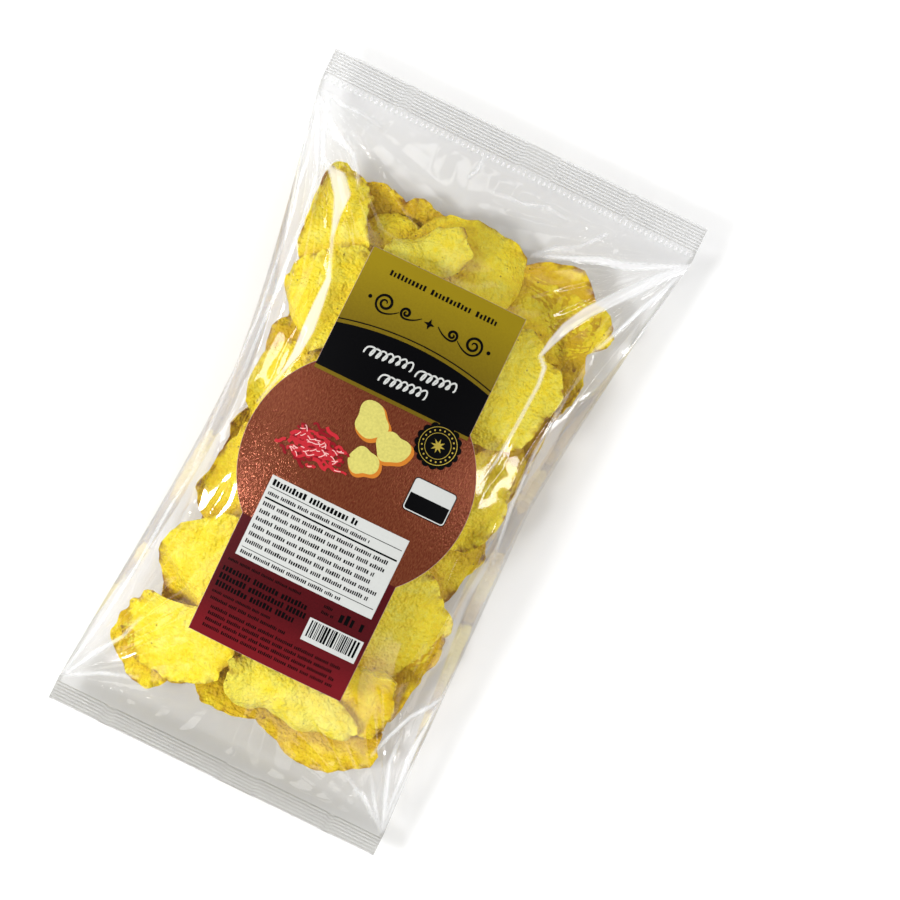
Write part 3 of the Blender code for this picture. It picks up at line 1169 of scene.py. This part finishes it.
def foot_print():
    """What is printed on the dark red field: rows of small print and a block of upright bars."""
    rows = text_block(-35, 5.5, -67.0, 1, 2.6, 1.3, 21)
    rows += text_block(-35.5, 8, -71.5, 3, 3.9, 2.7, 22, letter=(0.3, 0.48), words=(6, 12))
    rows += text_block(-35.5, -4, -83.2, 1, 2.4, 1.3, 23)
    rows += text_block(-35, 4, -86.4, 1, 2.4, 1.5, 24)
    rows += text_block(-33, 33, -90.2, 4, 3.0, 1.6, 25)
    rows += letter_row(13, 17.5, -67.3, 1.4, np.random.default_rng(26))
    rows += letter_row(13, 19, -70.2, 1.4, np.random.default_rng(27))
    rows += letter_row(21.5, 35, -68.9, 4.6, np.random.default_rng(28), letter=(0.3, 0.42), words=(3, 4))
    box = rectangle(9.6, -85.6, 36.2, -74.6)
    bars = bar_code(11, 35, -83.4, -75.4, 31)
    return [
        ("label_foot_rows", rows, 3, "black"),
        ("label_code_box", [box], 3, "white"),
        ("label_code_bars", bars, 4, "black"),
    ]


def head_print():
    """The ornament and lines on the gold field and the light rows on the black band."""
    half = (LABEL_WIDTH / 2 - PAPER_EDGE) / MM
    rng = np.random.default_rng(41)
    dark = letter_row(-26, 27, 80.2, 2.6, rng, letter=(0.3, 0.45), words=(9, 12), apart=0.32)
    dark += flourish(66.5)
    dark += stroke(bow(BAND_SIDE / MM + 2.0, BAND_RISE / MM, half), 0.55)
    light = loops(-20, 1.5, 45.0) + loops(5.5, 23, 45.0) + loops(-8.5, 12.5, 36.4)
    return [
        ("label_dark_lines", dark, 5, "black"),
        ("label_light_lines", light, 6, "white"),
    ]


def badge():
    """A black scalloped round with thin gold rings, a ring of dots and a small star."""
    x, y = 27.4, 19.2
    lines = stroke(arc(x, y, 8.6, 0, TAU, 48), 0.3) + stroke(arc(x, y, 5.9, 0, TAU, 36), 0.25)
    lines.append(star(x, y, 3.4, 1.4, 8))
    lines += [disc(dot_x, dot_y, 0.42, 10) for dot_x, dot_y in disc(x, y, 7.2, 20)]
    return [
        ("label_badge", [scalloped(x, y, 10.8, 16, 1.2)], 6, "black"),
        ("label_badge_lines", lines, 7, "gilt"),
    ]


def two_tone_box():
    """A plain rounded box, light above and dark below, beside the disc's edge."""
    x0, y0, x1, y1 = 24.6, -12.7, 45.4, 3.2
    middle = -4.2
    box = rounded_box(x0, y0, x1, y1, 1.8)
    light = rounded_box(x0 + 0.4, y0 + 0.4, x1 - 0.4, y1 - 0.4, 1.5)
    dark = rounded_box(x0 + 0.9, y0 + 0.9, x1 - 0.9, middle, 1.2, square_head=True)
    return [
        ("label_box", [box], 4, "black"),
        ("label_box_edge", [light], 5, "white"),
        ("label_box_low", [dark], 6, "black"),
    ]


def curl_path(x, y, rng):
    """The bent middle line of one thin curl."""
    lean = rng.uniform(-0.5, 0.7)
    long = rng.uniform(4, 8)
    bend = rng.uniform(0.5, 1.3) * rng.choice([-1, 1])
    path = []
    for share in np.arange(9) / 8:
        along = long * (share - 0.5)
        off = bend * math.sin(0.9 * TAU * share)
        path.append((
            x + along * math.cos(lean) - off * math.sin(lean),
            y + along * math.sin(lean) + off * math.cos(lean),
        ))
    return path


def picture():
    """A generic picture: three round slices and a heap of red curls."""
    slices = ((-4, 16.5, 8.4), (9.5, 9.5, 7.8), (0.5, -1.5, 7.0))
    rng = np.random.default_rng(PICTURE_SEED)
    backs = [uneven_round(x + 1.1, y - 0.9, radius, rng) for x, y, radius in slices]
    rng = np.random.default_rng(PICTURE_SEED)  # again, so that each slice has the form of its back
    fronts = [uneven_round(x, y, 0.93 * radius, rng) for x, y, radius in slices]
    curls = []
    lights = []
    for _ in range(96):
        x = rng.normal(-22, 6.2)
        y = rng.normal(-5.0, 4.0)
        path = curl_path(x, y, rng)
        curls.append(stroke(path, rng.uniform(0.9, 1.7)))
        if rng.uniform() < 0.35:
            lights += stroke(path[2:6], 0.4)
    return [
        ("label_slice_backs", backs, 4, "orange"),
        ("label_slices", fronts, 5, "cream"),
        ("label_curls_deep", sum(curls[::2], []), 6, "deep_red"),
        ("label_curls", sum(curls[1::2], []), 7, "bright_red"),
        ("label_curl_lights", lights, 8, "pink"),
    ]


def label_pieces(look):
    """The label's fields of colour and the shapes printed on them, each with its print layer and its ink."""
    pieces = label_fields(look)
    printed = head_print() + picture() + badge() + two_tone_box() + table_panel() + foot_print()
    for name, shapes, level, ink in printed:
        pieces.append(drape(name, [placed(shape) for shape in shapes], level, look[ink]))
    return pieces


# Materials


def add_node(tree, kind, settings=None, **inputs):
    """Adds a shader node with its own settings. An input takes a number, a colour or a socket to read."""
    made = tree.nodes.new("ShaderNode" + kind)
    for name, value in (settings or {}).items():
        setattr(made, name, value)
    for name, value in inputs.items():
        feed(tree, made.inputs[name.replace("_", " ")], value)
    return made


def feed(tree, socket, value):
    if isinstance(value, bpy.types.NodeSocket):
        tree.links.new(value, socket)
    else:
        socket.default_value = value


def object_place(tree):
    return add_node(tree, "TexCoord").outputs["Object"]


def attribute(tree, name):
    return add_node(tree, "Attribute", {"attribute_name": name}).outputs["Fac"]


def noise(tree, place, scale, detail, roughness=0.5):
    made = add_node(tree, "TexNoise", Vector=place, Scale=scale, Detail=detail, Roughness=roughness)
    return made.outputs["Fac"]


def map_range(tree, value, start, end, low=0.0, high=1.0):
    made = add_node(tree, "MapRange", Value=value, From_Min=start, From_Max=end, To_Min=low, To_Max=high)
    return made.outputs[0]


def combined(tree, operation, *values):
    """What a sum or another operation makes of two or three values."""
    made = add_node(tree, "Math", {"operation": operation})
    for socket, value in zip(made.inputs, values):
        feed(tree, socket, value)
    return made.outputs[0]


def mixed(tree, amount, under, over):
    """A colour between two others."""
    return add_node(tree, "Mix", {"data_type": "RGBA"}, Factor=amount, A=under, B=over).outputs["Result"]


def layered(tree, amount, under, over):
    """A shader between two others."""
    made = add_node(tree, "MixShader")
    for socket, value in zip(made.inputs, (amount, under.outputs[0], over.outputs[0])):
        feed(tree, socket, value)
    return made


def relief(tree, height, strength, distance):
    return add_node(tree, "Bump", Height=height, Strength=strength, Distance=distance).outputs["Normal"]


def new_material(name, **inputs):
    """A material whose one shader has the named inputs."""
    made = bpy.data.materials.new(name)
    made.use_nodes = True
    set_shader(made, **inputs)
    return made, made.node_tree


def set_shader(material, **inputs):
    shader = material.node_tree.nodes["Principled BSDF"]
    for name, value in inputs.items():
        feed(material.node_tree, shader.inputs[name.replace("_", " ")], value)


def film_material():
    """Clear film: it lets light straight through, mirrors the room and is faintly milky; painted highlights
    make it milky white and painted shade greys it.
    """
    made, tree = new_material("clear_film")
    tree.nodes.clear()
    # Painted shade: an attribute greys the film between the seal ridges, at the sides, over the back and
    # towards the foot
    tint_with_painted_shade = mixed(tree, attribute(tree, "dim"), (0.982, 0.983, 0.986, 1), (0.64, 0.635, 0.61, 1))
    clear = add_node(tree, "BsdfTransparent", Color=tint_with_painted_shade)
    milk_and_painted_highlight = add_node(tree, "BsdfDiffuse", Color=(0.96, 0.96, 0.97, 1))
    gloss = add_node(tree, "BsdfGlossy", Color=(1, 1, 1, 1), Roughness=0.05)
    faint = map_range(tree, noise(tree, object_place(tree), 45, 4), 0.45, 0.85, 0.001, 0.014)
    # Painted highlights: the white attribute turns the film milky white along its folds, on the seal crests
    # and on the dents; the noise adds a faint haze
    haze_and_painted_highlight = layered(tree, combined(tree, "MAXIMUM", attribute(tree, "white"), faint), clear, milk_and_painted_highlight)
    sight = add_node(tree, "Fresnel", IOR=1.5).outputs[0]
    shine = layered(tree, combined(tree, "MINIMUM", sight, 0.35), haze_and_painted_highlight, gloss)
    add_node(tree, "OutputMaterial", Surface=shine.outputs[0])
    return made


def crisp_material():
    """Fried potato: pale and deep gold in clouds, browned at some edges, with fine pits and dark specks, and
    deeper gold where painted shade is given.
    """
    made, tree = new_material(
        "crisp", Roughness=0.48, Specular_IOR_Level=0.35, Subsurface_Weight=0.06,
        Subsurface_Radius=(0.003, 0.002, 0.0004), Subsurface_Scale=1.0,
    )
    place = object_place(tree)

    def added(share, scale, detail, roughness, under):
        return combined(tree, "MULTIPLY_ADD", noise(tree, place, scale, detail, roughness), share, under)

    # The shade attribute holds each crisp's tone and its painted shade
    fine = added(0.4, 1300, 2, 0.5, attribute(tree, "shade"))
    grains = added(1.15, 470, 3, 0.6, fine)
    clouds = added(1.3, 130, 3, 0.5, grains)
    ramp = add_node(tree, "ValToRGB", Fac=map_range(tree, clouds, 1.17, 2.47))
    shades = ramp.color_ramp.elements
    shades[0].color = (0.73, 0.46, 0.004, 1)
    shades[1].color = (0.91, 0.81, 0.095, 1)
    shades.new(0.30).color = (0.88, 0.63, 0.007, 1)
    shades.new(0.62).color = (0.945, 0.75, 0.017, 1)
    spots = map_range(tree, noise(tree, place, 190, 2), 0.45, 0.62)
    browned = combined(tree, "MULTIPLY", attribute(tree, "browning"), spots)
    colour = mixed(tree, browned, ramp.outputs["Color"], (0.30, 0.12, 0.008, 1))
    specks = add_node(tree, "TexVoronoi", Vector=place, Scale=150).outputs["Distance"]
    colour = mixed(tree, map_range(tree, specks, 0.045, 0.085, 0.75, 0.0), colour, (0.16, 0.07, 0.01, 1))
    pits = added(2.2, 360, 2, 0.4, noise(tree, place, 800, 0))
    set_shader(made, Base_Color=colour, Normal=relief(tree, pits, 1.0, 0.0008))
    return made


def print_material(name, colour, metallic=0.0, roughness=0.5, grain=0.12, specular=0.08):
    """Printed paper: one ink with a fine uneven grain."""
    made, tree = new_material(name, Metallic=metallic, Roughness=roughness, Specular_IOR_Level=specular)
    dark = (*[value * (1 - grain) for value in colour], 1)
    light = (*[value * (1 + grain) for value in colour], 1)
    set_shader(made, Base_Color=mixed(tree, noise(tree, object_place(tree), 900, 3), dark, light))
    return made


def woven_material(name, dark, light):
    """Copper-brown metallic paper, embossed with a fine weave of short slanting threads."""
    made, tree = new_material(name, Metallic=0.3, Roughness=0.2, Specular_IOR_Level=0.1)
    place = object_place(tree)
    threads = []
    for lean in (32, -50):
        turn = add_node(
            tree, "Mapping", Vector=place, Rotation=(0, 0, math.radians(lean)), Scale=(1700, 620, 1)
        )
        threads.append(noise(tree, turn.outputs["Vector"], 1.0, 1))
    weave = map_range(tree, combined(tree, "ADD", *threads), 0.75, 1.25)
    colour = mixed(tree, weave, (*dark, 1), (*light, 1))
    set_shader(made, Base_Color=colour, Normal=relief(tree, weave, 0.33, 0.0003))
    return made


def graded_material(name, start, start_colour, end, end_colour, metallic):
    """Ink that goes from one colour at start to another at end, along the bag, with a fine uneven grain."""
    made, tree = new_material(name, Metallic=metallic, Roughness=0.45, Specular_IOR_Level=0.1)
    place = object_place(tree)
    along = add_node(tree, "SeparateXYZ", Vector=place).outputs["Y"]
    grain = noise(tree, place, 1100, 2)
    amount = combined(tree, "MULTIPLY_ADD", grain, 0.35, map_range(tree, along, start, end))
    set_shader(made, Base_Color=mixed(tree, amount, (*start_colour, 1), (*end_colour, 1)))
    return made


def label_looks():
    """The inks of the label by name."""
    return {
        "paper": print_material("paper", (0.50, 0.36, 0.33), roughness=0.6),
        "gold": graded_material(
            "gold_print", BAND_SIDE, (0.14, 0.092, 0.007), LABEL_TOP, (0.335, 0.24, 0.009), 0.35
        ),
        "gilt": print_material("gilt_print", (0.50, 0.38, 0.06), metallic=0.5, roughness=0.35),
        "copper": woven_material("copper_print", (0.135, 0.026, 0.012), (0.195, 0.056, 0.024)),
        "red": graded_material(
            "red_print", RED_GRADE_START, (0.046, 0.0022, 0.004), LABEL_FOOT, (0.15, 0.006, 0.010), 0.0
        ),
        "black": print_material("black_print", (0.0015, 0.0015, 0.002), specular=0.05),
        "white": print_material("white_print", (0.54, 0.55, 0.53), grain=0.04),
        "cream": print_material("cream_print", (0.55, 0.50, 0.13), grain=0.25),
        "orange": print_material("orange_print", (0.52, 0.17, 0.02)),
        "deep_red": print_material("deep_red_print", (0.22, 0.006, 0.012)),
        "bright_red": print_material("bright_red_print", (0.46, 0.02, 0.03)),
        "pink": print_material("pink_print", (0.75, 0.42, 0.40)),
    }


# Studio


def add_floor():
    corners = [(x, y, 0) for x, y in rectangle(-FLOOR_REACH, -FLOOR_REACH, FLOOR_REACH, FLOOR_REACH)]
    mesh = bpy.data.meshes.new("floor")
    mesh.from_pydata(corners, [], [(0, 1, 2, 3)])
    material, _ = new_material("floor", Base_Color=(0.9, 0.9, 0.9, 1), Roughness=0.9)
    floor = add_object("floor", mesh, material)
    floor.location.z = -FLOOR_DROP


def add_light(name, place, size, power):
    """A lamp with an even rectangular face that is turned to the bag."""
    data = bpy.data.lights.new(name, "AREA")
    data.shape = "RECTANGLE"
    data.size, data.size_y = size
    data.energy = power
    lamp = bpy.data.objects.new(name, data)
    bpy.context.scene.collection.objects.link(lamp)
    lamp.location = place
    lamp.rotation_euler = (-Vector(place)).to_track_quat("-Z", "Y").to_euler()
    return lamp


def add_room():
    """An even white room. The film mirrors bright patches of it, like lamps, low around the bag."""
    world = bpy.data.worlds.new("studio")
    bpy.context.scene.world = world
    world.use_nodes = True
    tree = world.node_tree
    background = tree.nodes["Background"]
    background.inputs["Color"].default_value = (1, 1, 1, 1)
    way = add_node(tree, "TexCoord").outputs["Generated"]
    patches = map_range(tree, noise(tree, way, 3.2, 1), 0.55, 0.60, 0.0, MIRRORED_PATCHES)
    low = map_range(tree, add_node(tree, "SeparateXYZ", Vector=way).outputs["Z"], 0.80, 0.60)
    mirrored = combined(tree, "MULTIPLY_ADD", patches, low, MIRRORED_ROOM)
    in_mirror = add_node(tree, "LightPath").outputs["Is Glossy Ray"]
    level = add_node(tree, "Mix", Factor=in_mirror, A=ROOM_LIGHT, B=mirrored)
    feed(tree, background.inputs["Strength"], level.outputs["Result"])


def add_lights():
    """A lamp overhead that gives the shadow, and three at the sides that show in the gloss."""
    key = add_light("key", (-0.55, -0.42, 1.10), (0.28, 0.28), 10)
    key.visible_glossy = False
    add_light("right", (1.0, 0.15, 0.75), (0.07, 1.3), 4.0)
    add_light("left", (-1.0, 0.15, 0.75), (0.05, 1.3), 2.2)
    glint = add_light("glint", (-0.96, -0.31, 0.77), (0.06, 0.11), 6.0)
    glint.visible_diffuse = False


def add_camera():
    data = bpy.data.cameras.new("camera")
    data.lens = CAMERA_LENS
    camera = bpy.data.objects.new("camera", data)
    bpy.context.scene.collection.objects.link(camera)
    camera.location = (CAMERA_X, CAMERA_Y, CAMERA_HEIGHT)
    camera.rotation_euler = (0, 0, CAMERA_LEAN)
    bpy.context.scene.camera = camera


def build():
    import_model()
    add_camera()
    add_room()
    add_lights()
    bpy.context.scene.view_settings.view_transform = "Standard"
    add_floor()
    for film in build_film(film_material()):
        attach(film, "root")
        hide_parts("bag")
    pile = Pile()
    front_crisps(pile)
    filler_crisps(pile)
    crisps = pile.build("crisps", crisp_material())
    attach(crisps, "root")
    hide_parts("bag")
    for piece in label_pieces(label_looks()):
        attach(piece, "root")
        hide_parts("label")


build()
